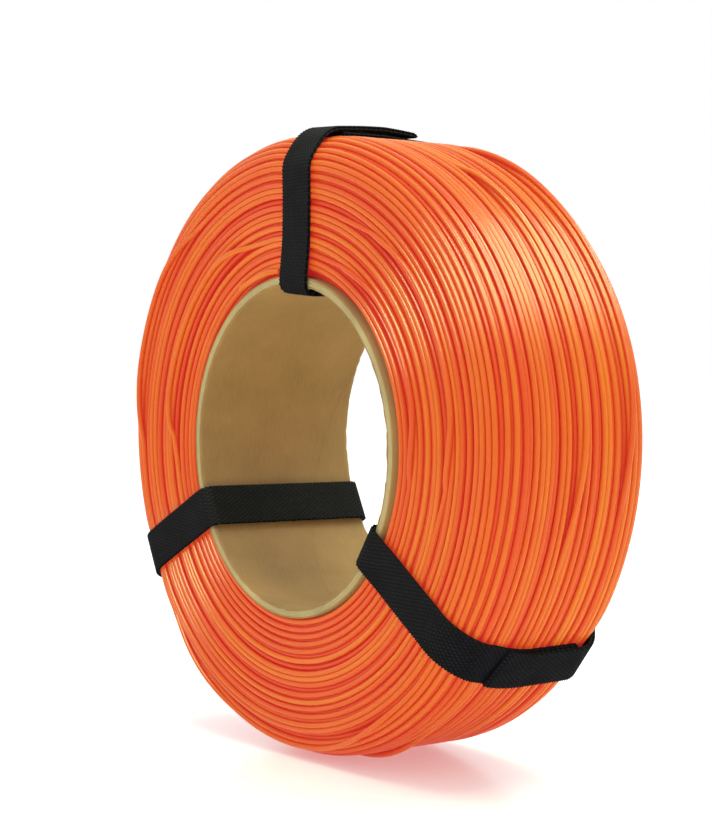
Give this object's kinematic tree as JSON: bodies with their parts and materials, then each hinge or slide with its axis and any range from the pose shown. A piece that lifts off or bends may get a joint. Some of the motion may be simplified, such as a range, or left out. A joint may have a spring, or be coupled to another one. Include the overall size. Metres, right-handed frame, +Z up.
{
  "type": "filament refill coil",
  "caption": "Spool-less refill coil of 3-D printing filament, wound on a board core and held by hook-and-loop straps that peel open",
  "frame": {"origin": "middle of the core's bore, on the coil's axis, half way between the two faces", "axes": "+Y along the coil's axis, from the front face to the back face; +Z up with the coil standing on its rim"},
  "size_m": [0.1973, 0.0629, 0.1996],
  "materials": {
    "filament": "glossy",
    "kraft_paper": "matte",
    "grey_board": "matte",
    "hook_tape": "matte",
    "loop_tape": "matte"
  },
  "bodies": {
    "coil": {"core_inner_liner": "kraft_paper", "core_board": "grey_board", "core_outer_wrap": "kraft_paper", "filament_winding": "filament", "filament_inner_end": "filament", "filament_outer_end": "filament", "strap_top_band_hook": "hook_tape", "strap_top_band_loop": "loop_tape", "strap_right_band_hook": "hook_tape", "strap_right_band_loop": "loop_tape", "strap_left_band_hook": "hook_tape", "strap_left_band_loop": "loop_tape"},
    "strap_top_tail": {"strap_top_tail_hook": "hook_tape", "strap_top_tail_loop": "loop_tape"},
    "strap_right_tail": {"strap_right_tail_hook": "hook_tape", "strap_right_tail_loop": "loop_tape"},
    "strap_left_tail": {"strap_left_tail_hook": "hook_tape", "strap_left_tail_loop": "loop_tape"}
  },
  "joints": [
    {"name": "strap_top_peel", "type": "hinge", "parent": "coil", "child": "strap_top_tail", "pos_m": [0.0061, -0.0175, 0.09966], "axis": [0.9981, 0, -0.061], "range_deg": [0, 85]},
    {"name": "strap_right_peel", "type": "hinge", "parent": "coil", "child": "strap_right_tail", "pos_m": [0.07868, 0.0175, -0.06147], "axis": [0.6157, 0, 0.788], "range_deg": [0, 85]},
    {"name": "strap_left_peel", "type": "hinge", "parent": "coil", "child": "strap_left_tail", "pos_m": [-0.0905, 0.0175, -0.0422], "axis": [0.4226, 0, -0.9063], "range_deg": [0, 85]}
  ]
}
